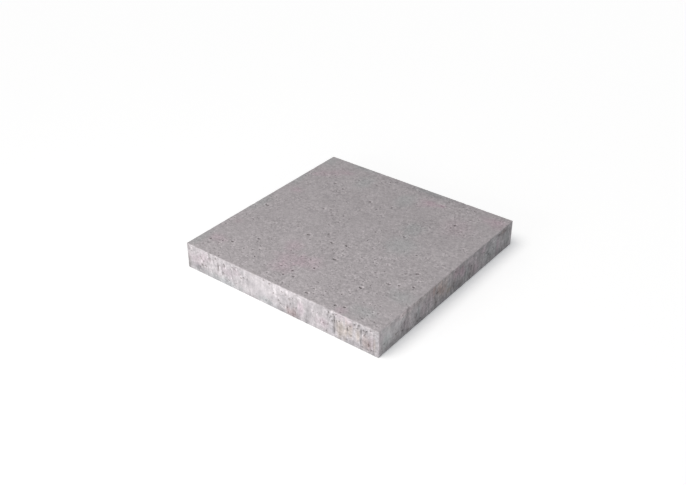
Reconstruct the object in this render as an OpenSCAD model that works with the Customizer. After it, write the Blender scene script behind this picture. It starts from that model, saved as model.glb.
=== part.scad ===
// Square paving slab of pressed concrete, cast as one piece with plain, unchamfered edges.
// Millimetres. +Z is up, and the origin is the middle of the face that lies on the bed.

/* [Slab] */
// Length along X
slab_length = 500; // [200:5:1000]
// Width along Y
slab_width = 500; // [200:5:1000]
// Thickness, from the bedding face up to the wearing face
slab_thickness = 60; // [30:1:150]

/* [Edges] */
// Radius that breaks the arris of the wearing face
top_arris = 1.5; // [0.5:0.1:8]
// Radius that breaks the arris of the bedding face
bed_arris = 1; // [0.5:0.1:8]
// Radius of the upright corners, left by the corners of the mould
corner_radius = 2; // [0.5:0.1:20]

/* [Hidden] */
// How far a cutting profile runs past the slab
overrun = 10;
// Facets of a full circle, where a circle is drawn as a polygon
$fn = 64;

// A rectangle from the X axis upwards, with one radius at its two lower corners and one at its upper two
module rounded_section(across, high, lower_r, upper_r) {
    translate([-across / 2, lower_r]) square([across, high - lower_r - upper_r]);
    translate([-across / 2 + lower_r, 0]) square([across - 2 * lower_r, lower_r]);
    translate([-across / 2 + upper_r, high - upper_r]) square([across - 2 * upper_r, upper_r]);
    for (side = [-1, 1]) {
        translate([side * (across / 2 - lower_r), lower_r]) circle(r = lower_r);
        translate([side * (across / 2 - upper_r), high - upper_r]) circle(r = upper_r);
    }
}

// The slab's upright section, drawn out along Y
module section_along_y() {
    run = slab_width + 2 * overrun;
    translate([0, run / 2, 0]) rotate([90, 0, 0]) linear_extrude(run)
        rounded_section(slab_length, slab_thickness, bed_arris, top_arris);
}

// The slab's upright section, drawn out along X
module section_along_x() {
    run = slab_length + 2 * overrun;
    translate([-run / 2, 0, 0]) rotate([90, 0, 90]) linear_extrude(run)
        rounded_section(slab_width, slab_thickness, bed_arris, top_arris);
}

// The mould's outline in plan, drawn up past the wearing face and down past the bedding face
module mould_outline() {
    translate([0, -slab_width / 2, -overrun]) linear_extrude(slab_thickness + 2 * overrun)
        rounded_section(slab_length, slab_width, corner_radius, corner_radius);
}

// The whole slab: the broken arrises of two sections, mitred where they meet inside the mould's outline
module slab() {
    color([0.64, 0.62, 0.62]) intersection() {
        mould_outline();
        section_along_y();
        section_along_x();
    }
}

slab();
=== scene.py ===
"""Looks of a square paving slab of pressed concrete.

The slab is one closed mesh. Its wearing face and four sides are triangulated together on a flat net,
which is folded down over the arrises, and pores, chips, wear and drag marks are pressed into it.
Its lengths are in millimetres until the mesh is written. The stage's are in metres.
"""
import math
import random

import bpy
import numpy as np
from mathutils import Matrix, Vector, geometry, noise


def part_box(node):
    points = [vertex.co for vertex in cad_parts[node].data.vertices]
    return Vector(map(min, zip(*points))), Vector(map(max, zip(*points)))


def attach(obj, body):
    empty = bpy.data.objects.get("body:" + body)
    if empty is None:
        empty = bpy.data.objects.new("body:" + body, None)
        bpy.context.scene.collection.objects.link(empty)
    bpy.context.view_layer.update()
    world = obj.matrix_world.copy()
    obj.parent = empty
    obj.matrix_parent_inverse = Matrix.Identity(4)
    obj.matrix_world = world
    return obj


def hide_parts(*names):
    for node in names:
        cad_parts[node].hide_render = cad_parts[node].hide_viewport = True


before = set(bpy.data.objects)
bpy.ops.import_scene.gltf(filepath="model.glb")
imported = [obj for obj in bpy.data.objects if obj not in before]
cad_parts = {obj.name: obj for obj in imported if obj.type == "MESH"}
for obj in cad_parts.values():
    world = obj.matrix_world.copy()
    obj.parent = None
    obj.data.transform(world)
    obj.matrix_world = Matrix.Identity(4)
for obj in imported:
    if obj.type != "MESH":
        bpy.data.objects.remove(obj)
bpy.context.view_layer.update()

MM = 0.001

# The slab's size, from the frame, and its edges, as in the part's source
slab_low, slab_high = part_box("slab")
HALF = (slab_high.x - slab_low.x) / MM / 2
THICKNESS = (slab_high.z - slab_low.z) / MM
TOP_ARRIS = 1.5
BED_ARRIS = 1.0
CORNER_RADIUS = 2.0

# Keeps a corner's radius above zero where it runs out
LEAST_RADIUS = 1e-9

# Lengths of the net's turns over the two arrises
TOP_TURN = math.pi / 2 * TOP_ARRIS
BED_TURN = math.pi / 2 * BED_ARRIS

# Where the net's parts meet, as reaches. A point's reach is the larger of its two coordinates
FLAT_TO = HALF - TOP_ARRIS
ARRIS_AT = FLAT_TO + TOP_TURN / 2
WALL_FROM = FLAT_TO + TOP_TURN
WALL_TO = WALL_FROM + THICKNESS - TOP_ARRIS - BED_ARRIS
NET_TO = WALL_TO + BED_TURN

# Spacing of the mesh's points, the share of it that they are moved by, and the seed
EDGE_STEP = 2.2
TOP_STEP = 3.1
WALL_STEP = 2.5
BED_STEP = 9.0
JITTER = 0.3
SEED = 11

# Faces of the slab. The four sides are in the order that quarter turns bring them
TOP, RIGHT, BACK, LEFT, FRONT, BED = range(6)
SIDES = (RIGHT, BACK, LEFT, FRONT)

# The pores that stand out: across, along or up, width and height. A tall narrow one is a groove
TOP_PORES = [
    (-162, 146, 8, 6), (-46, 125, 6, 7), (-96, 94, 5, 5), (-85, 34, 6, 5), (-77, 28, 7, 6),
    (-221, -27, 13, 6), (-67, -67, 9, 7), (-8, -62, 7, 7), (23, -53, 7, 6), (32, -54, 6, 5),
    (35, -108, 11, 7), (-10, -92, 6, 5), (-140, -144, 8, 6), (-135, -153, 5, 5), (-177, -186, 7, 6),
    (-195, -196, 5, 5), (-46, -142, 6, 5), (-25, -141, 5, 5), (-1, -139, 6, 5), (23, -158, 6, 6),
    (-35, -191, 8, 5), (-6, -192, 7, 6), (-12, -213, 6, 6), (9, -207, 6, 6), (65, -233, 8, 7),
    (199, -48, 7, 8), (181, -62, 5, 7), (219, -92, 7, 6), (194, -104, 6, 6), (174, -112, 9, 7),
    (135, -146, 5, 6), (138, -156, 7, 8), (100, 50, 7, 6), (160, 156, 6, 9), (160, 7, 5, 5),
    (228, 1, 8, 5), (134, -231, 6, 7), (152, -225, 6, 6), (204, -206, 5, 5), (165, 233, 6, 6),
    (-125, 190, 4, 8), (8, 93, 6, 5), (-138, -67, 8, 5), (-154, -76, 6, 5), (11, -83, 4, 5),
    (130, -96, 6, 5), (-5, -124, 5, 4), (-222, -205, 7, 6), (-220, -229, 6, 5), (122, -195, 4, 8),
    (-42, -228, 5, 4), (-99, -187, 4, 4), (-132, -204, 8, 5), (172, -191, 4, 4), (200, -194, 4, 4),
    (127, -180, 4, 4), (97, -192, 4, 4), (82, -216, 4, 5), (123, 115, 6, 5), (107, 107, 5, 7),
    (235, 233, 5, 6), (152, 219, 4, 4), (177, 196, 5, 6), (142, 184, 4, 4), (-82, 208, 6, 5),
    (-72, 222, 5, 5), (44, 180, 4, 4), (8, 134, 5, 6), (-239, 89, 4, 4), (215, 46, 4, 5), (77, -79, 4, 4),
    (112, -50, 4, 4), (142, -82, 4, 4), (191, -78, 5, 6), (-118, -128, 5, 4), (-118, -162, 6, 5),
    (-112, -173, 5, 4), (-101, -165, 5, 4), (-122, -183, 5, 5), (-139, -191, 5, 5), (-114, -206, 5, 4),
    (-101, -200, 5, 5), (-82, -146, 5, 4), (-197, -206, 6, 5), (-184, -235, 6, 4), (-238, -142, 5, 5),
    (-241, -128, 4, 4), (-240, -112, 4, 5), (-56, -137, 5, 4), (-43, -110, 5, 4), (-66, -210, 5, 4),
    (-31, -238, 5, 4), (-10, -239, 4, 4), (-16, -175, 5, 4), (-105, -239, 5, 4), (-98, -230, 4, 4),
    (6, -236, 6, 5), (78, -227, 5, 5), (68, -214, 5, 5), (92, -207, 5, 4), (96, -220, 4, 4),
    (112, -140, 5, 7), (98, -131, 5, 4), (129, -136, 4, 4), (160, -159, 4, 5), (186, -189, 4, 4),
    (215, -203, 5, 6), (200, -233, 6, 5), (192, -139, 5, 4), (115, -126, 5, 4), (63, -138, 3, 8),
    (225, -229, 4, 4), (236, -237, 4, 4), (-133, -79, 5, 4), (-95, 45, 6, 5), (-110, 38, 6, 5),
    (-184, 40, 7, 5), (-132, 30, 6, 5), (-55, 40, 4, 7), (-205, -91, 7, 5), (-230, -85, 5, 4),
    (-240, -76, 4, 4), (-240, -45, 4, 4), (-236, -10, 5, 4), (-239, 8, 4, 5), (-106, -55, 6, 5),
    (-58, -8, 6, 5), (-34, -40, 4, 9), (-218, 1, 5, 4), (-48, 12, 5, 5), (-28, -74, 4, 4),
    (30, -72, 4, 9), (42, -86, 4, 8), (21, -90, 4, 6), (74, -27, 5, 6), (90, -13, 4, 6), (68, 1, 4, 5),
    (40, 28, 6, 4), (28, 36, 5, 4), (46, -9, 4, 4), (113, -67, 6, 4), (102, -58, 5, 4), (128, -35, 5, 4),
    (134, -58, 4, 8), (218, -69, 6, 5), (215, -57, 4, 4), (89, 49, 4, 5), (182, 8, 3, 10),
    (76, -68, 4, 6), (-42, 82, 5, 8), (-15, 108, 5, 7), (-131, 135, 5, 6), (-185, 176, 5, 5),
    (-190, 161, 7, 5), (-108, 238, 5, 5), (-62, 228, 4, 5), (-147, 154, 5, 4), (-212, 108, 7, 5),
    (-172, 122, 6, 5), (-136, 118, 5, 5), (-240, 132, 4, 6), (-236, 148, 5, 6), (5, 234, 5, 6),
    (97, 233, 6, 5), (94, 208, 8, 5), (163, 219, 4, 5), (171, 181, 6, 5), (108, 80, 5, 4), (82, 62, 5, 4),
    (158, 142, 6, 5), (197, 133, 4, 7), (183, 127, 4, 6), (185, 142, 6, 5), (100, 126, 4, 5),
    (225, 85, 4, 7), (77, 96, 4, 6), (145, 230, 4, 6), (138, 195, 5, 5),
]
FRONT_PORES = [
    (-210, 39, 6, 12), (-207, 21, 8, 6), (-197, 22, 6, 8), (-214, 14, 6, 4), (-217, 6, 6, 4),
    (-236, 45, 4, 6), (-184, 55, 4, 4), (-184, 44, 6, 12), (-166, 52, 8, 6), (-160, 34, 5, 22),
    (-142, 45, 6, 11), (-147, 24, 6, 12), (-118, 50, 8, 4), (-108, 54, 6, 4), (-98, 55, 4, 4),
    (-96, 34, 6, 4), (-88, 38, 5, 5), (-97, 42, 4, 4), (-120, 22, 5, 4), (-130, 15, 6, 4),
    (-79, 36, 4, 4), (-33, 55, 5, 5), (-18, 53, 5, 6), (-29, 8, 4, 7), (-8, 35, 4, 5), (5, 24, 5, 4),
    (10, 18, 6, 4), (15, 48, 5, 4), (24, 44, 6, 3), (33, 38, 5, 7), (36, 28, 4, 6), (27, 15, 4, 9),
    (30, 6, 4, 5), (48, 11, 4, 13), (51, 24, 4, 9), (42, 44, 3, 6), (49, 54, 4, 4), (132, 52, 5, 5),
    (143, 52, 6, 4), (135, 41, 5, 4), (141, 36, 4, 7), (151, 40, 3, 9), (146, 43, 3, 24),
    (146, 16, 3, 25), (158, 42, 5, 4), (177, 33, 4, 12), (184, 42, 7, 3), (160, 12, 5, 3), (173, 6, 9, 5),
    (194, 50, 4, 9), (204, 54, 4, 5), (209, 41, 3, 22), (209, 16, 3, 24), (214, 47, 6, 5),
    (222, 48, 4, 6), (216, 36, 5, 4), (227, 20, 3, 15), (235, 9, 6, 5), (213, 7, 7, 5), (127, 6, 6, 4),
    (119, 21, 5, 4), (186, 21, 4, 5), (200, 45, 3, 4), (231, 53, 4, 3), (238, 46, 3, 3), (226, 40, 3, 3),
    (219, 41, 3, 3), (150, 55, 4, 4), (138, 46, 4, 4), (-173, 47, 4, 5), (-203, 32, 4, 5),
    (-124, 44, 4, 4), (-111, 48, 4, 5),
]
RIGHT_PORES = [
    (-193, 22, 8, 5), (-172, 17, 6, 6), (-151, 7, 7, 5), (-124, 24, 4, 16), (-51, 38, 8, 6),
    (-55, 16, 4, 8), (14, 52, 6, 4), (10, 22, 4, 20), (35, 9, 6, 6), (80, 32, 5, 8), (217, 50, 7, 5),
    (-110, 9, 6, 5), (150, 24, 6, 6), (190, 52, 6, 5), (-165, 33, 5, 10), (-232, 22, 5, 4), (74, 9, 8, 6),
    (142, 33, 4, 10),
]
BACK_PORES = [
    (-222, 40, 5, 8), (-205, 18, 7, 5), (-188, 50, 6, 5), (-171, 30, 4, 17), (-150, 46, 6, 4),
    (-134, 12, 7, 5), (-118, 36, 5, 9), (-96, 52, 5, 5), (-84, 20, 6, 4), (-60, 40, 7, 5),
    (-42, 10, 6, 6), (-21, 30, 4, 14), (4, 50, 6, 5), (22, 22, 5, 5), (47, 41, 7, 4), (63, 14, 5, 8),
    (88, 33, 4, 20), (109, 52, 6, 5), (126, 20, 7, 5), (151, 43, 5, 9), (172, 9, 6, 5), (190, 34, 4, 15),
    (211, 50, 6, 6), (229, 22, 5, 7),
]
LEFT_PORES = [
    (-231, 28, 5, 7), (-214, 48, 6, 5), (-192, 15, 7, 5), (-176, 38, 4, 16), (-155, 52, 5, 4),
    (-139, 25, 6, 5), (-112, 44, 7, 4), (-97, 11, 6, 5), (-73, 33, 4, 18), (-52, 50, 6, 5),
    (-30, 20, 5, 8), (-8, 42, 6, 5), (16, 12, 7, 5), (37, 36, 4, 14), (58, 52, 6, 4), (76, 24, 5, 6),
    (101, 45, 6, 5), (123, 16, 6, 6), (144, 38, 4, 17), (167, 51, 5, 5), (186, 22, 7, 5), (208, 40, 5, 9),
    (233, 12, 6, 5),
]
PLACED_PORES = {TOP: TOP_PORES, FRONT: FRONT_PORES, RIGHT: RIGHT_PORES, BACK: BACK_PORES, LEFT: LEFT_PORES}

# Small pores scattered on each face in crowds: how many, and their least and greatest width
SCATTERED = {TOP: 400, RIGHT: 60, BACK: 70, LEFT: 70, FRONT: 50, BED: 70}
SCATTERED_WIDTH = (1.8, 4.6)

# How strongly narrow ones are favoured, their heights in widths, and their gaps
SCATTERED_BIAS = 1.7
SCATTERED_SQUASH = (0.7, 1.2)
SCATTERED_APART = 6.5
SCATTERED_OFF_EDGE = 6.0

# How readily a place takes a small pore: more so beside a placed one and towards the front
CROWD_SIZE = 45.0
BUSY_REACH = 18.0
OPEN_CROWDING = -0.2
PLACED_CROWDING = 0.6
FRONT_CROWDING = 0.15
CROWDING_DRAW = 0.35


def side_of(net):
    """The side that each net point lies on, counted in quarter turns from +X."""
    across = np.abs(net[:, 0]) >= np.abs(net[:, 1])
    return np.where(across, np.where(net[:, 0] > 0, 0, 2), np.where(net[:, 1] > 0, 1, 3))


def quarter_turn(points, turns):
    """The points turned about the middle by that many quarter turns, one for all or one for each."""
    x, y = points[:, 0], points[:, 1]
    turns = np.broadcast_to(turns, x.shape) % 4
    turned_x = np.choose(turns, [x, -y, -x, y])
    turned_y = np.choose(turns, [y, x, -y, -x])
    return np.stack([turned_x, turned_y], 1)


def fold(net):
    """Places on the slab of points on the net."""
    reach = np.abs(net).max(1)
    turn = np.clip((reach - FLAT_TO) / TOP_ARRIS, 0, math.pi / 2)
    bed_turn = np.clip((reach - WALL_TO) / BED_ARRIS, 0, math.pi / 2)
    drop = np.clip(reach, WALL_FROM, WALL_TO) - WALL_FROM
    height = THICKNESS - TOP_ARRIS * (1 - np.cos(turn)) - drop - BED_ARRIS * np.sin(bed_turn)
    half = HALF - TOP_ARRIS * (1 - np.sin(turn)) - BED_ARRIS * (1 - np.cos(bed_turn))
    radius = np.maximum(CORNER_RADIUS * np.sin(turn) * np.cos(bed_turn), LEAST_RADIUS)

    # Every side is worked out as the +X side, with its corners drawn in to arcs, and turned back
    side = side_of(net)
    upright = quarter_turn(net, -side)
    along = upright[:, 1] / np.maximum(reach, FLAT_TO) * half
    past = np.clip((np.abs(along) - half + radius) / radius, 0, 1) * math.pi / 4
    on_arc = past > 0
    out = np.where(on_arc, half - radius + radius * np.cos(past), half)
    along = np.where(on_arc, np.sign(along) * (half - radius + radius * np.sin(past)), along)
    plan = quarter_turn(np.stack([out, along], 1), side)
    plan[reach <= FLAT_TO] = net[reach <= FLAT_TO]
    return np.column_stack([plan, height])


def net_of(face, across, up):
    """Net points of places on a face: x and y, or along and height on a side."""
    if face == TOP:
        return np.column_stack([across, up])
    reach = WALL_FROM + THICKNESS - TOP_ARRIS - up
    sign = 1 if face in (RIGHT, BACK) else -1
    points = np.column_stack([sign * reach, across / HALF * reach])
    return points if face in (RIGHT, LEFT) else points[:, ::-1]


def ring(reach, shares):
    """Net points round the square at that reach, at those shares of each half side, in order."""
    one_side = np.column_stack([np.full(len(shares), reach), reach * shares])
    return np.concatenate([quarter_turn(one_side, turns) for turns in range(4)])


def jittered_grid(x_from, x_to, y_from, y_to, step, rng):
    """A grid of points about one step apart, each moved a little at random."""
    columns = max(2, round((x_to - x_from) / step))
    rows = max(2, round((y_to - y_from) / step))
    x, y = np.meshgrid(np.linspace(x_from, x_to, columns), np.linspace(y_from, y_to, rows))
    points = np.column_stack([x.ravel(), y.ravel()])
    return points + rng.uniform(-JITTER, JITTER, points.shape) * step


class Pore:
    """An uneven pit in one face, with its middle, half width, half height and depth."""

    # Rings of mesh points, as shares of the way to the rim, and how many points are in each
    RINGS = (0.45, 0.8, 1.0, 1.25)
    FEW_RINGS = (0.55, 1.0, 1.35)
    SMALL = 1.6
    SMALL_COUNT = 6
    LEAST_COUNT = 7
    COUNT_PER_MM = 3.2

    # How uneven the rim is: its greatest tilt, and the number and size of the waves round it
    MOST_TILT = 0.6
    LOBE_WAVES = (2, 3, 5)
    LOBE_SIZES = (0.1, 0.5)

    # Greatest depth as a share of the pore's lesser size, and the least and greatest darkness of its
    # painted shade and dirt
    LARGE = (0.85, 0.8, 1.0)
    FINE = (0.45, 0.15, 0.55)
    ON_FRONT = (0.6, 0.5, 1.0)
    ON_SIDE = (0.5, 0.4, 0.85)
    LARGE_FROM = 6
    SHALLOWEST = 0.6

    # Its section: how steep the wall is, how soft the edge of its painted shade and dirt is, and where the
    # painted highlight ring round the rim lies
    STEEPNESS = 3.5
    SHADE_EDGE = 0.3
    HIGHLIGHT_RING_AT = 1.25
    HIGHLIGHT_RING_WIDTH = 0.3

    # How far off the middle it reaches, and how far outside its rim the mesh's fill starts
    REACH = 2
    CLEAR_MM = 0.9
    CLEAR_SHARE = 1.25

    def __init__(self, face, across, up, width, height, draw):
        self.face, self.middle = face, np.array([across, up])
        self.half_size = np.array([width, height]) / 2
        lesser = min(width, height)
        slenderness = lesser / max(width, height)
        self.tilt = draw.uniform(-self.MOST_TILT, self.MOST_TILT) * slenderness**2
        self.lobes = [
            (waves, draw.uniform(*self.LOBE_SIZES) / waves, draw.uniform(0, 2 * math.pi))
            for waves in self.LOBE_WAVES
        ]
        if face in SIDES:
            kind = self.ON_FRONT if face == FRONT else self.ON_SIDE
        else:
            kind = self.LARGE if lesser >= self.LARGE_FROM else self.FINE
        deepest, palest, darkest = kind
        self.depth = draw.uniform(self.SHALLOWEST, 1) * deepest * lesser
        self.darkness = draw.uniform(palest, darkest)

    def outline(self, angle):
        """Distance of the rim from the middle, in half sizes, at an angle."""
        return 1 + sum(size * np.cos(waves * angle + start) for waves, size, start in self.lobes)

    def places(self):
        """Points of the pit's rings and middle, on its face."""
        radius = self.half_size.max()
        small = radius < self.SMALL
        count = self.SMALL_COUNT if small else max(self.LEAST_COUNT, round(radius * self.COUNT_PER_MM))
        angle = np.arange(count) * 2 * math.pi / count
        circle = np.column_stack([np.cos(angle), np.sin(angle)]) * self.outline(angle)[:, None]
        rings = [circle * share * self.half_size for share in (self.FEW_RINGS if small else self.RINGS)]
        return self.middle + self.turned(np.concatenate([[[0, 0]], *rings]), self.tilt)

    @staticmethod
    def turned(points, angle):
        """The points turned about the pit's middle."""
        c, s = math.cos(angle), math.sin(angle)
        return points @ np.array([[c, s], [-s, c]])

    def off_middle(self, places):
        """How far off the middle each place is, as a share of the way to the rim."""
        local = self.turned(places - self.middle, -self.tilt) / self.half_size
        return np.hypot(*local.T) / self.outline(np.arctan2(local[:, 1], local[:, 0]))

    def holds(self, slab):
        """Whether each of the slab's points is on the pore's face and near it."""
        near = np.abs(slab.on_face - self.middle) < self.REACH * self.half_size.max()
        return (slab.face == self.face) & near.all(1)

    def marks(self, places):
        """How deep the pit is at each place, how dark its painted shade and dirt make it, and how near the
        painted highlight ring round the rim.
        """
        off = self.off_middle(places)
        depth = self.depth * (1 - np.clip(off, 0, 1) ** self.STEEPNESS)
        shade = np.clip((1 - off) / self.SHADE_EDGE, 0, 1) * self.darkness
        return depth, shade, np.clip(1 - np.abs(off - self.HIGHLIGHT_RING_AT) / self.HIGHLIGHT_RING_WIDTH, 0, 1)

    def clearance(self, places):
        """Whether each place is far enough outside the rim for a point of the fill."""
        local = self.turned(places - self.middle, -self.tilt) / (self.half_size + self.CLEAR_MM)
        return np.hypot(*local.T) > self.CLEAR_SHARE


def busy_at(places, middles):
    """How close each place is to one of the middles, from 0 far off to 1."""
    off = np.linalg.norm(places[:, None] - middles, axis=2).min(1)
    return np.exp(-((off / BUSY_REACH) ** 2))


def scattered_pore(face, draw):
    """A small pore somewhere on a face, clear of its edges."""
    edge = SCATTERED_OFF_EDGE
    low, high = (edge - HALF, HALF - edge) if face in (TOP, BED) else (edge, THICKNESS - edge)
    narrowest, widest = SCATTERED_WIDTH
    width = narrowest + (widest - narrowest) * draw.random() ** SCATTERED_BIAS
    height = width * draw.uniform(*SCATTERED_SQUASH)
    return Pore(face, draw.uniform(edge - HALF, HALF - edge), draw.uniform(low, high), width, height, draw)


def make_pores():
    """The pores that stand out, and then small ones in crowds between them."""
    draw = random.Random(SEED)
    pores = [Pore(face, *spot, draw) for face, spots in PLACED_PORES.items() for spot in spots]
    for face, count in SCATTERED.items():
        placed = np.array([spot[:2] for spot in PLACED_PORES.get(face, [(HALF, HALF)])])
        middles = [*placed]
        while count:
            pore = scattered_pore(face, draw)
            crowding = noise.noise(Vector((*pore.middle, CROWD_SIZE * face)) / CROWD_SIZE) + OPEN_CROWDING
            crowding += PLACED_CROWDING * busy_at(pore.middle[None], placed)[0]
            if face == TOP:
                crowding -= FRONT_CROWDING * pore.middle[1] / HALF
            gaps = np.abs(np.array(middles) - pore.middle).max(1)
            if gaps.min() > SCATTERED_APART and crowding > draw.uniform(-CROWDING_DRAW, CROWDING_DRAW):
                middles.append(pore.middle)
                pores.append(pore)
                count -= 1
    return pores


# Triangles fill the area inside the edges, and no points are merged
INSIDE_EDGES = 1
MERGED_WITHIN = 0.0


def triangulate(points, edges):
    """Triangles over the points that keep those edges, as rows of three indices."""
    corners = [Vector(point) for point in points]
    _, _, faces, sources, _, _ = geometry.delaunay_2d_cdt(corners, edges, [], INSIDE_EDGES, MERGED_WITHIN)
    return np.array([[sources[corner][0] for corner in face] for face in faces])


def clear_of(points, pores, face):
    """The points of a face's fill that no pore of that face takes the place of."""
    for pore in pores:
        if pore.face == face:
            points = points[pore.clearance(points)]
    return points


# Rings of the net: rows over the two arrises, rows beside them, and rows of the upright corners alone
ARRIS_ROWS = (0, 0.25, 0.5, 0.75, 1)
BED_ROWS = (1, 0.5, 0)
NEAR_ROW = 1.6
FAR_ROW = 4.0
LOWEST_ROW = 2.0
CORNER_ROWS_FROM = 6.0
CORNER_ROWS_TO = 3.0
CORNER_ROW_STEP = 2.0

# Points of each side of a ring, from its corner and back to the next, that lie on the corner's arc
CORNER_LINES = [0, 1, 2, -2, -1]

# The last point of a corner's own row on each side, in corner radii from the corner
CORNER_ROW_END = 2.2

# How far the fill keeps off the top's edge, a wall's ends, foot and head, and the bed's edge
TOP_FILL_OFF = 6.5
ENDS_FILL_OFF = 6.0
FOOT_FILL_OFF = 5.0
HEAD_FILL_OFF = 7.5
BED_FILL_OFF = 5.0


def ring_list():
    """Each ring's reach and its shares of the half sides, and a whole ring's shares."""
    corner = CORNER_RADIUS / HALF
    even = np.linspace(corner - 1, 1 - corner, round(2 * HALF / EDGE_STEP))
    whole = np.concatenate([[-1, corner / 2 - 1], even, [1 - corner / 2]])
    at_corner = np.array([-1, corner / 2 - 1, corner - 1, CORNER_ROW_END * corner - 1])
    at_corner = np.concatenate([at_corner, -at_corner[:0:-1]])

    bed_rows = WALL_TO + BED_TURN * np.array(BED_ROWS)
    arris_rows = FLAT_TO + TOP_TURN * np.array(ARRIS_ROWS)
    upper_rows = [FLAT_TO - FAR_ROW, FLAT_TO - NEAR_ROW]
    wall_rows = [WALL_FROM + NEAR_ROW, WALL_FROM + FAR_ROW, WALL_TO - LOWEST_ROW]
    corner_rows = np.arange(WALL_FROM + CORNER_ROWS_FROM, WALL_TO - CORNER_ROWS_TO, CORNER_ROW_STEP)
    rings = [(reach, whole) for reach in [*bed_rows, *arris_rows, *upper_rows, *wall_rows]]
    return rings + [(reach, at_corner) for reach in corner_rows], whole


def net_rings():
    """Points of the net's rings, the outermost first, and the edges that they keep."""
    groups, edges, lines, start = [], [], [], 0
    rings, whole = ring_list()
    for reach, shares in rings:
        points = ring(reach, shares)
        index = start + np.arange(len(points))
        if shares is whole:
            edges += np.column_stack([index, np.roll(index, -1)]).tolist()
        lines.append((reach, index.reshape(4, -1)[:, CORNER_LINES].ravel()))
        groups.append(points)
        start += len(points)

    # The upright corners keep their lines from ring to ring
    lines.sort(key=lambda line: line[0])
    for (_, upper), (_, lower) in zip(lines, lines[1:]):
        edges += np.column_stack([upper, lower]).tolist()
    return groups, edges


def net_points(pores, rng):
    """The net's points, the edges that its rings keep, and how many of the first are its border."""
    groups, edges = net_rings()
    border = len(groups[0])
    inner = FLAT_TO - TOP_FILL_OFF
    groups.append(clear_of(jittered_grid(-inner, inner, -inner, inner, TOP_STEP, rng), pores, TOP))
    end = HALF - ENDS_FILL_OFF
    head = THICKNESS - HEAD_FILL_OFF
    for side in SIDES:
        fill = jittered_grid(-end, end, FOOT_FILL_OFF, head, WALL_STEP, rng)
        groups.append(net_of(side, *clear_of(fill, pores, side).T))
    for pore in pores:
        if pore.face != BED:
            groups.append(net_of(pore.face, *pore.places().T))
    return np.concatenate(groups), edges, border


def bed_points(border, pores, rng):
    """Points of the bed inside its border, in plan."""
    inner = HALF - BED_ARRIS - BED_FILL_OFF
    fill = clear_of(jittered_grid(-inner, inner, -inner, inner, BED_STEP, rng), pores, BED)
    return np.concatenate([border, fill, *[pore.places() for pore in pores if pore.face == BED]])


class Slab:
    """The slab's points, where each lies on the faces, and its triangles."""

    def __init__(self, pores):
        rng = np.random.default_rng(SEED)
        self.net, edges, border = net_points(pores, rng)
        upper = triangulate(self.net, edges)
        places = fold(self.net)

        bed = bed_points(places[:border, :2], pores, rng)
        loop = np.arange(border)
        lower = triangulate(bed, np.column_stack([loop, np.roll(loop, -1)]).tolist())
        count = len(self.net)
        lower = np.where(lower < border, lower, lower - border + count)[:, ::-1]
        bed_inner = bed[border:]

        self.places = np.concatenate([places, np.column_stack([bed_inner, np.zeros(len(bed_inner))])])
        self.triangles = np.concatenate([upper, lower])
        self.reach = np.concatenate([np.abs(self.net).max(1), np.full(len(bed_inner), NET_TO + 1)])
        self.net = np.concatenate([self.net, bed_inner])
        self.face = self.faces_of(self.net, self.reach)
        self.on_face = self.places_on_faces()
        self.is_bed = np.arange(len(self.triangles)) >= len(upper)

    @staticmethod
    def faces_of(net, reach):
        """The face that each net point lies on."""
        face = np.choose(side_of(net), SIDES)
        face[reach < ARRIS_AT] = TOP
        face[reach > NET_TO] = BED
        return face

    def places_on_faces(self):
        """Each point's place on its own face: x and y, or along and height on a side."""
        x, y, z = self.places.T
        along_x = np.isin(self.face, (FRONT, BACK))
        flat = np.isin(self.face, (TOP, BED))
        return np.column_stack([np.where(flat | along_x, x, y), np.where(flat, y, z)])


def normals_of(places, triangles):
    """Outward direction at each point, from the triangles round it."""
    a, b, c = (places[triangles[:, k]] for k in range(3))
    of_triangle = np.cross(b - a, c - a)
    normals = np.zeros_like(places)
    for k in range(3):
        np.add.at(normals, triangles[:, k], of_triangle)
    return normals / np.linalg.norm(normals, axis=1)[:, None]


def layered(points, layers):
    """Smooth noise in layers, added up. Each has a strength, a size and an offset."""
    total = np.zeros(len(points))
    for strength, size, offset in layers:
        scaled = points / np.asarray(size) + offset
        total += strength * np.array([noise.noise(Vector(point)) for point in scaled])
    return total


# Chips on the upper arris: side, place along it, length and depth
CHIPS = [
    (FRONT, 60, 9, 1.6), (FRONT, 139, 12, 1.8), (FRONT, 192, 8, 1.4), (FRONT, 224, 14, 1.6),
    (FRONT, -62, 10, 1.8), (FRONT, -184, 8, 1.8), (RIGHT, -214, 24, 1.6), (RIGHT, -150, 10, 1.4),
    (RIGHT, -70, 12, 1.6), (RIGHT, 40, 9, 1.2), (RIGHT, 120, 10, 1.2), (BACK, -90, 8, 1.0),
    (BACK, 130, 9, 1.2), (LEFT, -40, 9, 1.2), (LEFT, 170, 8, 1.0),
]

# A chip's raggedness, its reach off the arris in chip depths, and the share of its depth taken
CHIP_RAGGED = 0.35
CHIP_WAVES = (1.7, 0.6)
CHIP_REACH = 1.5
CHIP_SHARE = 0.7

# Wear of the upper arris, as noise layers, and how deep and wide it is
WEAR = ((1.0, 11, 9.0), (0.6, 4, 2.0))
WEAR_EVERYWHERE = 0.35
WEAR_MOST = 1.6
WEAR_DEPTH = 0.26
WEAR_WIDTH = 1.6

# Relief of the faces, and drag marks that run up the sides, as noise layers
UNEVEN = ((0.08, 45, 0.0), (0.06, 9, 5.0))
DRAG = ((1.0, (5, 5, 60), 0.0), (1.0, (14, 14, 40), 3.0), (1.3, 7, 7.0))
DRAG_DEPTH = 0.14
DRAG_MOST = 4


def pore_marks(slab, pores):
    """How deep the pores are at each point, how dark their painted shade and dirt make it, and how near a
    rim's painted highlight it is.
    """
    marks = np.zeros((3, len(slab.places)))
    for pore in pores:
        near = pore.holds(slab)
        marks[:, near] = np.maximum(marks[:, near], pore.marks(slab.on_face[near]))
    return marks


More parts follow.
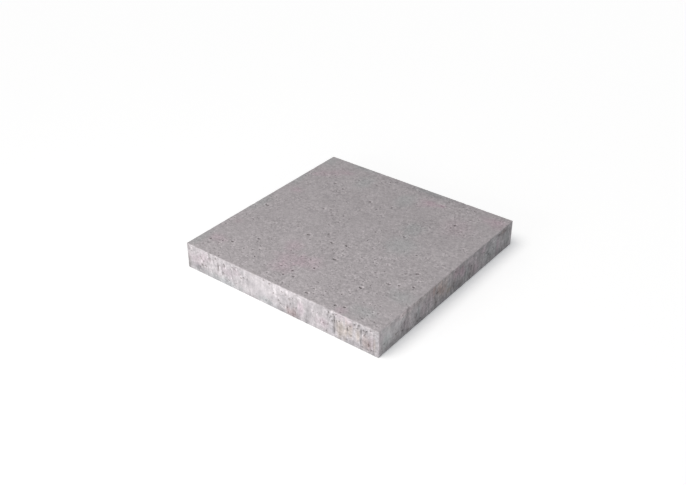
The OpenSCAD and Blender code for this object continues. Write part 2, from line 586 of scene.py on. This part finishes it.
def arris_depth(slab):
    """How far the upper arris is worn and chipped away at each point."""
    off_arris = slab.reach - ARRIS_AT
    wear = np.clip(WEAR_EVERYWHERE + layered(slab.places, WEAR), 0, WEAR_MOST)
    depth = WEAR_DEPTH * wear * np.exp(-((off_arris / WEAR_WIDTH) ** 2))
    x, y, _ = slab.places.T
    side = np.choose(side_of(slab.net), SIDES)
    along = np.where(np.isin(side, (FRONT, BACK)), x, y)
    fine, coarse = CHIP_WAVES
    for chip_side, middle, length, chip_depth in CHIPS:
        ragged = 1 + CHIP_RAGGED * np.sin(along * fine + middle) * np.sin(along * coarse)
        off = np.hypot((along - middle) / (length / 2), off_arris / (CHIP_REACH * chip_depth * ragged))
        depth += np.where(side == chip_side, chip_depth * CHIP_SHARE * np.clip(1 - off**2, 0, 1), 0)
    return depth


def depth_of(slab, pores):
    """How far each point is pressed in, how dark a pore's painted shade and dirt make it, and how near a
    rim's painted highlight it is.
    """
    depth, pit, rim = pore_marks(slab, pores)

    # The faces aren't dead flat, and nothing stands out of them
    depth += sum(strength for strength, _, _ in UNEVEN) + layered(slab.places, UNEVEN)
    on_side = np.isin(slab.face, SIDES)
    depth[on_side] += DRAG_DEPTH * np.clip(1 + layered(slab.places[on_side], DRAG), 0, DRAG_MOST)
    return depth + arris_depth(slab), pit, rim


# How strong the texture is where each face is calm, as a share of its strength where pores crowd
CALM = {TOP: 0.56, RIGHT: 0.85, BACK: 0.55, LEFT: 0.55, FRONT: 0.62, BED: 0.65}

# Where the texture is weaker or stronger: face, across, along or up, half width and height, change
TEXTURE_CHANGES = [
    (FRONT, -45, 34, 60, 50, -0.6), (RIGHT, -228, 36, 44, 50, -0.45), (RIGHT, 0, 30, 40, 50, 0.25),
    (RIGHT, 232, 30, 24, 50, 0.25), (TOP, 200, -215, 80, 60, -0.2), (TOP, 0, 235, 260, 45, 0.35),
]

# How it changes from place to place, as noise layers
BUSY = ((0.3, 60, 6.0),)


def roughness_of(slab):
    """How strong the texture is at each point: it is stronger where pores crowd."""
    busy = layered(slab.places, BUSY)
    for face, spots in PLACED_PORES.items():
        on_face = slab.face == face
        busy[on_face] += busy_at(slab.on_face[on_face], np.array([spot[:2] for spot in spots]))
    calm = np.array([CALM[face] for face in slab.face])
    rough = calm + (1 - calm) * np.clip(busy, 0, 1)
    for face, across, up, half_width, half_height, change in TEXTURE_CHANGES:
        off = (slab.on_face - (across, up)) / (half_width, half_height)
        rough *= 1 + change * np.exp(-(off**2).sum(1)) * (slab.face == face)
    return rough


# The bake's map: the wearing face, two sides beside it, two above it and the bed in the corner
MAP_MARGIN = 0.006
MAP_TOP = 0.70
MAP_TOP_SPARE = 6
MAP_SIDE_SPARE = 3
MAP_SIDE_FROM = 1
MAP_SCALE = (MAP_TOP - MAP_MARGIN) / (2 * ARRIS_AT + MAP_TOP_SPARE)
MAP_STRIP = MAP_SCALE * (NET_TO - ARRIS_AT + MAP_SIDE_SPARE) + MAP_MARGIN
MAP_BED = 1 - MAP_TOP - 2 * MAP_MARGIN


def map_corners(slab):
    """Places of the triangles' corners on the bake's map, where no faces overlap."""
    corners = slab.net[slab.triangles]
    middle = corners.mean(1)
    face = Slab.faces_of(middle, np.abs(middle).max(1))
    face[slab.is_bed] = BED
    flat = slab.places[slab.triangles][:, :, :2]
    places = np.zeros(corners.shape)

    top = face == TOP
    places[top] = MAP_TOP / 2 + corners[top] * MAP_SCALE
    for turns, side in enumerate(SIDES):
        on_side = face == side
        upright = quarter_turn(corners[on_side].reshape(-1, 2), -turns).reshape(-1, 3, 2)
        along = MAP_TOP / 2 + upright[:, :, 1] / upright[:, :, 0] * HALF * MAP_SCALE
        strip_at = MAP_TOP + MAP_MARGIN + (turns // 2) * MAP_STRIP
        down = strip_at + (upright[:, :, 0] - ARRIS_AT + MAP_SIDE_FROM) * MAP_SCALE
        pair = [down, along] if turns % 2 else [along, down]
        places[on_side] = np.stack(pair, 2)
    bed_scale = MAP_BED / (2 * HALF)
    bed_middle = 1 - MAP_MARGIN - MAP_BED / 2
    places[face == BED] = bed_middle + flat[face == BED] * bed_scale
    return places


def add_object(name, data):
    """A new object in the scene."""
    made = bpy.data.objects.new(name, data)
    bpy.context.scene.collection.objects.link(made)
    return made


def write_mesh(name, slab, depth, pit, rim, tint):
    """The slab as a Blender object, with the attributes that its material reads."""
    places = slab.places - normals_of(slab.places, slab.triangles) * depth[:, None]
    places[:, 2] = np.maximum(places[:, 2], 0)
    mesh = bpy.data.meshes.new(name)
    mesh.from_pydata((places * MM).tolist(), [], slab.triangles.tolist())
    mesh.polygons.foreach_set("use_smooth", np.ones(len(slab.triangles), bool))

    side = np.clip((slab.reach - FLAT_TO) / TOP_TURN, 0, 1)
    # pit is painted shade and dirt inside the pores, and rim a painted highlight round their rims
    for label, values in (("pit", pit), ("rim", rim), ("side", side), ("rough", roughness_of(slab))):
        layer = mesh.attributes.new(label, "FLOAT", "POINT")
        layer.data.foreach_set("value", values.astype(np.float32))
    layer = mesh.attributes.new("tint", "FLOAT_COLOR", "POINT")
    layer.data.foreach_set("color", np.column_stack([tint, np.ones(len(tint))]).astype(np.float32).ravel())

    uv = mesh.uv_layers.new(name="OFBake")
    uv.uv.foreach_set("vector", map_corners(slab).astype(np.float32).ravel())
    mesh.validate()
    mesh.update()
    return add_object(name, mesh)


# Shades that stains, painted shade in hollows and painted light multiply the concrete's colour by
PINK = (1.06, 0.95, 1.0)
ROSE = (1.038, 0.964, 1.0)
BLUSH = (1.02, 0.975, 0.995)
GREEN = (0.95, 1.0, 0.988)
BROWN = (0.86, 0.797, 0.77)
UMBER = (0.86, 0.803, 0.797)
OCHRE = (0.92, 0.875, 0.8)
PALE = (1.1, 1.1, 1.1)
# A painted pool of light
PAINTED_LIGHT = (1.32, 1.34, 1.32)
WARM = (1.012, 0.988, 0.965)
# Painted cool shade by the floor
PAINTED_COOL_SHADE = (0.98, 1.0, 1.01)
VEIL = (0.96, 0.96, 0.96)
# Dull patches, and painted shade and dirt along grooves
DULL = (0.86, 0.865, 0.87)
# Dark patches, and painted shade and dirt in pores, grooves and chips
DARK = (0.81, 0.805, 0.795)

# Stains of each face by shade, with painted shade in pores, grooves and chips, and painted light and cool
# shade on the right side: across, along or up, half width and height
TOP_STAINS_AND_SHADE = {
    ROSE: [
        (-62, -120, 34, 30), (-40, -160, 44, 40), (2, -148, 44, 36), (-32, -196, 36, 28),
        (58, 196, 28, 30), (72, 204, 32, 18), (94, 208, 16, 12), (-172, 202, 28, 18),
        (-192, 186, 30, 22), (-214, 168, 30, 20), (-226, 154, 18, 14), (-214, 68, 26, 18),
        (214, 216, 30, 22), (236, 214, 22, 34), (-212, -194, 30, 24), (152, -238, 18, 18),
    ],
    BLUSH: [(-225, -118, 14, 14), (170, 150, 50, 60)],
    GREEN: [
        (115, 20, 54, 52), (98, 88, 34, 40), (14, 176, 30, 50), (-242, -215, 18, 60),
        (-242, -30, 22, 70), (-244, 115, 18, 50), (-240, 225, 30, 40), (-150, 243, 70, 16),
        (40, 243, 70, 14), (220, -135, 40, 34), (190, -215, 44, 26), (-110, 190, 30, 50),
    ],
    DULL: [(30, 238, 200, 22)],
    VEIL: [(60, 100, 240, 90), (215, 205, 70, 70)],
    # Painted shade in two chips of the front arris
    DARK: [(-62, -246, 9, 5), (-184, -246, 5, 5)],
}
FRONT_STAINS_AND_SHADE = {
    BLUSH: [
        (-222, 28, 34, 20), (-198, 44, 22, 16), (-130, 32, 26, 12), (-108, 44, 16, 12),
        (160, 54, 18, 14), (182, 50, 12, 18), (236, 30, 9, 28),
    ],
    # Dark patches at the left end, and painted shade and dirt in pores, grooves and chips
    DARK: [
        (-249, 14, 12, 44), (-246, 12, 9, 28), (-160, 34, 3, 18), (-206, 20, 8, 8), (-62, 57, 8, 5),
        (-184, 55, 4, 9), (-210, 39, 4, 8), (-184, 44, 4, 8), (-166, 52, 5, 4), (-142, 46, 4, 7),
        (6, 23, 4, 4), (10, 19, 4, 3), (33, 38, 4, 5), (-18, 54, 4, 5), (-33, 56, 4, 4), (143, 51, 5, 4),
        (177, 32, 3, 7),
    ],
    # Dull patches, and painted shade and dirt along grooves
    DULL: [
        (-238, 6, 44, 18), (-236, 16, 20, 14), (-205, 12, 22, 12), (-150, 3, 60, 12), (-128, 28, 32, 24),
        (-98, 50, 24, 14), (40, 2, 60, 10), (20, 36, 18, 10), (78, 28, 9, 46), (136, 38, 16, 14),
        (-75, 34, 24, 12), (175, 5, 32, 13), (216, 46, 20, 14), (56, 24, 42, 9), (76, 8, 20, 10),
        (247, 44, 12, 26), (140, 10, 18, 20), (-8, 24, 16, 10), (5, 4, 40, 9), (226, 5, 34, 14),
        (-22, 6, 26, 9), (178, 8, 24, 10), (146, 28, 4, 44), (209, 28, 4, 44), (176, 28, 4, 18),
        (138, 20, 9, 26), (24, 22, 18, 10), (28, 14, 5, 14), (48, 12, 5, 18), (231, 22, 3, 26),
        (-42, 18, 16, 28), (42, 30, 14, 14), (-140, 9, 14, 12), (143, 12, 10, 16), (200, 10, 12, 14),
    ],
    PALE: [
        (36, 55, 54, 12), (-25, 52, 24, 9), (122, 53, 18, 9), (172, 53, 20, 8), (-40, 46, 50, 32),
        (-28, 40, 36, 38), (0, 54, 34, 12), (171, 36, 5, 34), (196, 25, 6, 30), (114, 38, 18, 32),
        (-68, 14, 34, 16), (60, 46, 9, 22), (-228, 48, 12, 16), (-175, 30, 18, 26), (171, 30, 4, 22),
        (199, 28, 3, 30), (214, 32, 3, 22), (235, 26, 3, 30), (-12, 30, 26, 44), (184, 30, 12, 20),
        (62, 10, 14, 13), (180, 52, 14, 10), (60, 54, 14, 9),
    ],
    GREEN: [(-150, 6, 90, 14), (-30, 8, 40, 12)],
    UMBER: [(30, 12, 12, 20), (46, 16, 10, 24), (38, 6, 18, 14), (228, 22, 8, 28)],
    ROSE: [(62, 28, 14, 24), (118, 22, 22, 22)],
    OCHRE: [(160, 27, 17, 34), (182, 30, 10, 26), (202, 30, 8, 24), (240, 24, 4, 26)],
    BROWN: [(219, 22, 15, 28)],
    VEIL: [(-148, 52, 22, 10), (160, 10, 16, 14)],
}
RIGHT_STAINS_LIGHT_AND_SHADE = {
    # Painted light, lighter towards the near corner of the right side
    PAINTED_LIGHT: [(-245, 38, 150, 72)],
    PALE: [
        (-246, 48, 60, 44), (-220, 40, 22, 22), (-190, 48, 34, 18), (-145, 48, 30, 20),
        (-112, 38, 10, 20), (-76, 38, 12, 26), (-22, 50, 26, 14), (2, 42, 9, 20), (78, 48, 10, 18),
        (96, 42, 14, 16), (125, 26, 16, 14), (168, 42, 16, 16), (222, 30, 24, 18), (125, 42, 22, 18),
        (-23, 28, 20, 18), (-125, 44, 26, 24), (-25, 30, 20, 18), (-70, 54, 130, 16), (-30, 36, 12, 22),
        (125, 50, 24, 12), (-170, 42, 70, 28), (226, 52, 22, 10), (226, 22, 22, 12), (-40, 54, 16, 10),
        (2, 30, 10, 14), (-100, 12, 16, 16), (102, 52, 14, 10),
    ],
    BLUSH: [
        (-246, 35, 16, 44), (-160, 26, 24, 24), (-100, 26, 20, 22), (-170, 54, 60, 8), (80, 44, 26, 20),
        (-75, 40, 26, 24),
    ],
    VEIL: [
        (210, 36, 40, 30), (240, 44, 14, 30), (-175, 22, 28, 26), (74, 46, 26, 16), (-220, 54, 14, 10),
    ],
    # A dark patch, and painted shade and dirt in pores and grooves
    DARK: [
        (75, 16, 36, 26), (-57, 20, 9, 36), (10, 20, 8, 36), (-194, 22, 8, 6), (-152, 8, 10, 10),
        (-51, 38, 9, 7), (36, 9, 10, 10),
    ],
    DULL: [
        (60, 34, 24, 20), (-124, 20, 6, 30), (-168, 26, 16, 22), (-172, 14, 10, 14), (-30, 8, 26, 14),
        (78, 30, 10, 12), (76, 10, 22, 14), (14, 52, 14, 8), (118, 54, 8, 6), (138, 50, 9, 9),
        (152, 40, 9, 22), (145, 30, 6, 12), (158, 22, 9, 9), (193, 50, 14, 10), (215, 48, 9, 12),
        (190, 9, 12, 9), (206, 7, 14, 9), (-114, 7, 20, 9), (-215, 8, 30, 10), (-175, 8, 30, 9),
        (-152, 57, 7, 6), (-2, 15, 6, 6), (22, 14, 16, 22), (182, 30, 12, 16),
    ],
    BROWN: [(-45, 44, 22, 22), (-28, 32, 18, 16), (-62, 52, 10, 8), (206, 52, 24, 8)],
    OCHRE: [(-8, 20, 16, 12)],
    PINK: [(22, 46, 28, 16), (44, 34, 20, 16), (187, 30, 7, 30)],
    ROSE: [(95, 18, 22, 24), (125, 46, 20, 16)],
    GREEN: [
        (160, 28, 50, 38), (228, 24, 22, 30), (-225, 26, 24, 22), (-118, 30, 10, 24), (60, 22, 14, 22),
        (-10, 30, 8, 18),
    ],
    WARM: [(-90, 56, 180, 22), (-30, 30, 36, 28)],
    # Painted cool shade along the foot
    PAINTED_COOL_SHADE: [(0, 2, 300, 16)],
}
BACK_STAINS_AND_SHADE = {
    OCHRE: [(-140, 20, 34, 24)],
    BLUSH: [(60, 36, 44, 24)],
    BROWN: [(190, 24, 20, 28)],
    PALE: [(-40, 44, 70, 24), (140, 36, 12, 26)],
    DULL: [(-225, 20, 40, 34), (110, 4, 90, 16), (-90, 30, 7, 40), (20, 28, 8, 44)],
    # Painted shade and dirt in grooves, and a dark streak
    DARK: [(160, 20, 5, 34), (-170, 30, 4, 34), (88, 33, 4, 30)],
}
LEFT_STAINS_AND_SHADE = {
    BLUSH: [(-170, 30, 38, 24)],
    BROWN: [(20, 16, 24, 20)],
    PALE: [(150, 34, 60, 28), (-90, 40, 40, 22), (-20, 40, 14, 24)],
    DULL: [(-60, 4, 110, 16), (-130, 26, 8, 40), (70, 30, 10, 44), (190, 22, 12, 30)],
    OCHRE: [(225, 24, 30, 34)],
    # Painted shade and dirt in grooves
    DARK: [(144, 34, 4, 30), (-73, 30, 4, 32)],
}
STAINS_LIGHT_AND_SHADE = {TOP: TOP_STAINS_AND_SHADE, FRONT: FRONT_STAINS_AND_SHADE, RIGHT: RIGHT_STAINS_LIGHT_AND_SHADE, BACK: BACK_STAINS_AND_SHADE, LEFT: LEFT_STAINS_AND_SHADE}


# How ragged stains and painted light and shade are on flat faces and on sides, as noise layers
BLOTCHED = ((0.35, 18, 4.0), (0.25, 7, 8.0))
STREAKED = ((0.5, (6, 6, 50), 4.0), (0.35, (15, 15, 20), 8.0))

# A stain's or painted mark's strength at its middle. It is cut to 1, which leaves a core of even shade
STAIN_CORE = 1.2


def tint_of(slab):
    """The colour that stains, painted shade and painted light multiply the concrete's own by, at each
    point.
    """
    tint = np.ones((len(slab.places), 3))
    on_side = np.isin(slab.face, SIDES)
    ragged = 1 + np.where(on_side, layered(slab.places, STREAKED), layered(slab.places, BLOTCHED))
    for face, shades in STAINS_LIGHT_AND_SHADE.items():
        on_face = slab.face == face
        for shade, stains in shades.items():
            for across, up, half_width, half_height in stains:
                off = (slab.on_face[on_face] - (across, up)) / (half_width, half_height)
                off_middle = np.hypot(*off.T) * ragged[on_face]
                share = np.clip(STAIN_CORE * (1 - off_middle), 0, 1)
                softened = share * share * (3 - 2 * share)
                tint[on_face] *= 1 + (np.array(shade) - 1) * softened[:, None]
    return tint


# The range that nearly all of a noise node's values lie in
NOISE_RANGE = (0.3, 0.7)


class Graph:
    """The nodes of a material or world, each made, set and linked in one call."""

    def __init__(self, owner):
        owner.use_nodes = True
        self.tree = owner.node_tree
        self.tree.nodes.clear()

    def add(self, kind, inputs=(), **settings):
        """A node with those settings, and with a value or another socket for each named input."""
        node = self.tree.nodes.new(kind)
        for name, value in settings.items():
            setattr(node, name, value)
        for name, value in dict(inputs).items():
            if isinstance(value, bpy.types.NodeSocket):
                self.tree.links.new(value, node.inputs[name])
            else:
                node.inputs[name].default_value = value
        return node

    def math(self, operation, *values):
        return self.add("ShaderNodeMath", enumerate(values), operation=operation).outputs[0]

    def remap(self, value, low, high, to_low=0.0, to_high=1.0):
        inputs = {"Value": value, "From Min": low, "From Max": high, "To Min": to_low, "To Max": to_high}
        return self.add("ShaderNodeMapRange", inputs).outputs[0]

    def mix(self, factor, first, second, blend="MIX"):
        """Two colours mixed. The sockets have numbers because a mix node has several of each name."""
        inputs = {0: factor, 6: first, 7: second}
        return self.add("ShaderNodeMix", inputs, data_type="RGBA", blend_type=blend).outputs[2]

    def times(self, first, second):
        return self.mix(1.0, first, second, "MULTIPLY")

    def shaded(self, share, colour, shade):
        """The colour, multiplied by the shade where the share is 1."""
        return self.mix(share, colour, self.times(colour, shade))

    def noise(self, vector, size_mm, detail, roughness):
        """Noise with features of that size, as a number about a half."""
        inputs = {"Vector": vector, "Scale": 1 / (size_mm * MM), "Detail": detail, "Roughness": roughness}
        return self.add("ShaderNodeTexNoise", inputs).outputs[0]

    def spread(self, noise, darkest, lightest):
        """Noise brought to a range of shades."""
        return self.remap(noise, *NOISE_RANGE, darkest, lightest)

    def layer(self, vector, size_mm, detail, roughness, darkest, lightest):
        """One layer of the texture: noise of that size as a range of shades."""
        return self.spread(self.noise(vector, size_mm, detail, roughness), darkest, lightest)

    def drawn_out(self, vector, share):
        """The place with its height cut to that share, which draws noise out upright."""
        return self.add("ShaderNodeMapping", {"Vector": vector, "Scale": (1, 1, share)}).outputs[0]

    def attribute(self, name, output="Fac"):
        return self.add("ShaderNodeAttribute", attribute_name=name).outputs[output]


# Colours of the concrete, linear, and what multiplies them
TOP_COLOUR = (0.387, 0.356, 0.363, 1)
SIDE_COLOUR = (0.467, 0.434, 0.442, 1)
GRAIN_DARK = (0.76, 0.75, 0.75, 1)
GRAIN_LIGHT = (1.2, 1.19, 1.18, 1)
# Painted shade and dirt inside pores
TOP_PIT_SHADE_AND_DIRT = (0.43, 0.41, 0.41, 1)
SIDE_PIT_SHADE_AND_DIRT = (0.7, 0.685, 0.675, 1)
# Painted highlights round the rims of pores
TOP_RIM_HIGHLIGHT = (1.11, 1.11, 1.11, 1)
SIDE_RIM_HIGHLIGHT = (1.05, 1.05, 1.05, 1)
WHITE = (1, 1, 1, 1)

# Layers of the texture: the noise's size, detail and roughness, and its darkest and lightest shade
CLOUDS = (60, 3, 0.5, 0.96, 1.04)
TOP_MOTTLING = (9, 6, 0.8, 0.665, 1.305)
SIDE_MOTTLING = (5.5, 5, 0.8, 0.72, 1.245)
CLOTS = (6, 2, 0.6, 0.81, 1.19)
BANDS = (16, 2, 0.5, 0.87, 1.11)
PATCHES = (42, 4, 0.6, 0.865, 1.135)

# Noise that both shades and raises the surface: size, detail and roughness, and then its shades
SAND = (1.1, 3, 0.7)
SAND_SHADES = (0.93, 1.07)
STREAKS = (6, 4, 0.6)
STREAK_SHADES = (0.77, 1.21)

# The share of the height that noise is read at, which draws bands and streaks out
BAND_SQUASH = 0.15
STREAK_SQUASH = 0.17

# Sand grains: the size of their cells, the noise that warps these, their radii, edges and shades
GRAIN_MM = 2.6
WARP_SIZE_MM = 2.0
WARP_DETAIL = 2
WARP_MM = 2.4
GRAIN_RADII = (0.2, 0.6)
GRAIN_EDGE = 0.12
DARK_DRAWS = (0.1, 0.08)
LIGHT_DRAWS = (0.9, 0.92)
TOP_GRAINS = (0.94, 1.06)
SIDE_GRAINS = (0.95, 1.05)

# Relief finer than the mesh, and gloss
LUMPS = (4.5, 3, 0.5)
LUMPS_SHARE = 2.0
TOP_BUMP = 0.8
SIDE_BUMP = 0.5
BUMP_MM = 0.6
ROUGHNESS_SAND = (0.2, 0.8)
ROUGHNESS = (0.82, 0.96)
SPECULAR = 0.3


def concrete_shade(graph, place, side, grain, streaks):
    """How light the concrete is: clouds, mottling, grains, and on the sides bands and streaks."""
    rough = graph.attribute("rough")
    mottling = graph.mix(side, graph.layer(place, *TOP_MOTTLING), graph.layer(place, *SIDE_MOTTLING))
    grains = graph.mix(side, graph.remap(grain, 0, 1, *TOP_GRAINS), graph.remap(grain, 0, 1, *SIDE_GRAINS))
    speckle = graph.times(grains, graph.layer(place, *CLOTS))
    streaked = graph.mix(side, WHITE, graph.spread(streaks, *STREAK_SHADES))
    texture = graph.times(graph.times(speckle, mottling), streaked)
    texture = graph.mix(rough, WHITE, texture)

    bands = graph.layer(graph.drawn_out(place, BAND_SQUASH), *BANDS)
    wall = graph.math("MULTIPLY", bands, graph.layer(place, *PATCHES))
    shade = graph.times(graph.layer(place, *CLOUDS), graph.mix(side, WHITE, wall))
    return graph.times(shade, texture)


def sand_grains(graph, place):
    """A random number for each grain's cell, and how far a place is in a dark or a light grain."""
    inputs = {"Vector": place, "Scale": 1 / (WARP_SIZE_MM * MM), "Detail": WARP_DETAIL}
    warp = graph.add("ShaderNodeTexNoise", inputs).outputs["Color"]
    inputs = {0: warp, 1: (WARP_MM * MM,) * 3, 2: place}
    warped = graph.add("ShaderNodeVectorMath", inputs, operation="MULTIPLY_ADD").outputs[0]
    cells = graph.add("ShaderNodeTexVoronoi", {"Vector": warped, "Scale": 1 / (GRAIN_MM * MM)})
    grain, size, _ = graph.add("ShaderNodeSeparateColor", {0: cells.outputs["Color"]}).outputs
    inside = graph.math("SUBTRACT", graph.remap(size, 0, 1, *GRAIN_RADII), cells.outputs["Distance"])
    in_grain = graph.remap(inside, 0, GRAIN_EDGE)
    dark_grain = graph.math("MULTIPLY", graph.remap(grain, *DARK_DRAWS), in_grain)
    light_grain = graph.math("MULTIPLY", graph.remap(grain, *LIGHT_DRAWS), in_grain)
    return grain, dark_grain, light_grain


def concrete_bump(graph, place, side, sand, streaks):
    """Relief finer than the mesh: sand, lumps, and streaks on the sides."""
    lumps = graph.math("MULTIPLY", graph.noise(place, *LUMPS), LUMPS_SHARE)
    relief = graph.math("ADD", graph.math("ADD", sand, lumps), graph.math("MULTIPLY", streaks, side))
    strength = graph.remap(side, 0, 1, TOP_BUMP, SIDE_BUMP)
    inputs = {"Strength": strength, "Distance": BUMP_MM * MM, "Height": relief}
    return graph.add("ShaderNodeBump", inputs).outputs[0]


def concrete_material():
    """Pressed concrete: cement paste with sand grains, pores, mottling, and streaks on the sides."""
    material = bpy.data.materials.new("pressed_concrete")
    graph = Graph(material)
    place = graph.add("ShaderNodeTexCoord").outputs["Object"]
    side, pit, rim = (graph.attribute(name) for name in ("side", "pit", "rim"))
    grain, dark_grain, light_grain = sand_grains(graph, place)
    sand = graph.noise(place, *SAND)
    streaks = graph.noise(graph.drawn_out(place, STREAK_SQUASH), *STREAKS)

    base = graph.mix(side, TOP_COLOUR, SIDE_COLOUR)
    base = graph.times(base, graph.attribute("tint", "Color"))
    base = graph.times(base, concrete_shade(graph, place, side, grain, streaks))
    base = graph.times(base, graph.spread(sand, *SAND_SHADES))
    base = graph.shaded(dark_grain, base, GRAIN_DARK)
    base = graph.shaded(light_grain, base, GRAIN_LIGHT)
    # A painted highlight round the rims of pores
    base = graph.shaded(rim, base, graph.mix(side, TOP_RIM_HIGHLIGHT, SIDE_RIM_HIGHLIGHT))
    # Painted shade and dirt inside the pores
    base = graph.shaded(pit, base, graph.mix(side, TOP_PIT_SHADE_AND_DIRT, SIDE_PIT_SHADE_AND_DIRT))

    inputs = {
        "Base Color": base,
        "Roughness": graph.remap(sand, *ROUGHNESS_SAND, *ROUGHNESS),
        "Normal": concrete_bump(graph, place, side, sand, streaks),
        "Specular IOR Level": SPECULAR,
    }
    surface = graph.add("ShaderNodeBsdfPrincipled", inputs).outputs[0]
    graph.add("ShaderNodeOutputMaterial", {"Surface": surface})
    return material


def lit_and_seen(graph, lighting, seen):
    """One shader for rays that light the slab, and another for those that show what is there."""
    path = graph.add("ShaderNodeLightPath").outputs
    share = graph.math("MAXIMUM", path["Is Camera Ray"], path["Is Glossy Ray"])
    share = graph.math("MAXIMUM", share, path["Is Transmission Ray"])
    return graph.add("ShaderNodeMixShader", {0: share, 1: lighting, 2: seen}).outputs[0]


# Light from all round, the background, and the floor as it bounces light and as it is seen
AMBIENT = 0.36
AMBIENT_COLOUR = (0.975, 0.985, 1, 1)
BACKDROP = 0.985
FLOOR_BOUNCE = (0.71, 0.735, 0.752, 1)
FLOOR_SEEN = (1.0, 0.981, 0.957, 1)
FLOOR_GLOW = 0.194
FLOOR_GLOW_COLOUR = (0.94, 1, 1.07, 1)
FLOOR_HALF_M = 30.0
FLOOR_BELOW_MM = 0.2


def make_world():
    """Even soft light from all round, on a white background."""
    world = bpy.data.worlds.new("studio")
    bpy.context.scene.world = world
    graph = Graph(world)
    ambient = graph.add("ShaderNodeBackground", {"Color": AMBIENT_COLOUR, "Strength": AMBIENT}).outputs[0]
    backdrop = graph.add("ShaderNodeBackground", {"Color": WHITE, "Strength": BACKDROP}).outputs[0]
    graph.add("ShaderNodeOutputWorld", {"Surface": lit_and_seen(graph, ambient, backdrop)})


def make_floor():
    """A white floor that keeps the slab's shadow."""
    size = FLOOR_HALF_M
    height = -FLOOR_BELOW_MM * MM
    mesh = bpy.data.meshes.new("floor")
    corners = [(x * size, y * size, height) for x, y in ((-1, -1), (1, -1), (1, 1), (-1, 1))]
    mesh.from_pydata(corners, [], [(0, 1, 2, 3)])
    floor = add_object("floor", mesh)
    material = bpy.data.materials.new("white_floor")
    graph = Graph(material)
    bounce = graph.add("ShaderNodeBsdfDiffuse", {"Color": FLOOR_BOUNCE}).outputs[0]
    matte = graph.add("ShaderNodeBsdfDiffuse", {"Color": FLOOR_SEEN}).outputs[0]
    glow = graph.add("ShaderNodeEmission", {"Color": FLOOR_GLOW_COLOUR, "Strength": FLOOR_GLOW}).outputs[0]
    seen = graph.add("ShaderNodeAddShader", {0: matte, 1: glow}).outputs[0]
    graph.add("ShaderNodeOutputMaterial", {"Surface": lit_and_seen(graph, bounce, seen)})
    mesh.materials.append(material)
    return floor


# The key light, and the lamp by the front, which lights the slab and, more weakly, the floor
KEY_FROM = Vector((-0.22, -0.42, 1))
KEY_STRENGTH = 0.498
KEY_SPREAD_DEG = 42
SOFTBOX_AT = Vector((-0.06, -1.08, 0.34))
SOFTBOX_SIDE = 0.6
SOFTBOX_WATTS = 6.95
SPILL_WATTS = 1.8


def add_lamp(name, kind, energy, source):
    """A lamp turned so that its light comes from that direction."""
    lamp = add_object(name, bpy.data.lights.new(name, kind))
    lamp.data.energy = energy
    lamp.rotation_mode = "QUATERNION"
    lamp.rotation_quaternion = source.to_track_quat("Z", "Y")
    return lamp


def make_key_light():
    """A soft key light from the front left. A white surface that faces it shows its strength."""
    key = add_lamp("key", "SUN", KEY_STRENGTH * math.pi, KEY_FROM)
    key.data.angle = math.radians(KEY_SPREAD_DEG)


def make_softbox(name, watts, lit_piece):
    """A lamp close to the front that lights one piece alone, and fades towards the back."""
    softbox = add_lamp(name, "AREA", watts, SOFTBOX_AT)
    softbox.data.size = SOFTBOX_SIDE
    softbox.location = SOFTBOX_AT
    lit = bpy.data.collections.new(f"lit_by_{name}")
    lit.objects.link(lit_piece)
    softbox.light_linking.receiver_collection = lit


# The photograph's camera: its place, what it looks at, and its focal length in pixels
CAMERA_AT = Vector((1021.6, -1354.4, 1114.7)) * MM
CAMERA_AIM = Vector((-19.1, -9.9, 29.5)) * MM
FOCAL_PIXELS = 931.8
PHOTO_WIDTH = 686
SENSOR_MM = 36.0


def make_camera():
    """The camera at the photograph's place, with its framing."""
    data = bpy.data.cameras.new("camera")
    data.sensor_width = SENSOR_MM
    data.lens = SENSOR_MM * (FOCAL_PIXELS / PHOTO_WIDTH)
    camera = add_object("camera", data)
    camera.location = CAMERA_AT
    camera.rotation_mode = "QUATERNION"
    camera.rotation_quaternion = (CAMERA_AIM - CAMERA_AT).to_track_quat("-Z", "Y")
    bpy.context.scene.camera = camera


def make_slab():
    """The detailed slab, which stands for the plain one."""
    pores = make_pores()
    slab = Slab(pores)
    piece = write_mesh("paving_slab", slab, *depth_of(slab, pores), tint_of(slab))
    piece.data.materials.append(concrete_material())
    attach(piece, "root")
    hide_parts("slab")
    return piece


make_camera()
paving_slab = make_slab()
floor = make_floor()
make_world()
make_key_light()
make_softbox("softbox", SOFTBOX_WATTS, paving_slab)
make_softbox("spill", SPILL_WATTS, floor)
bpy.context.scene.view_settings.view_transform = "Standard"
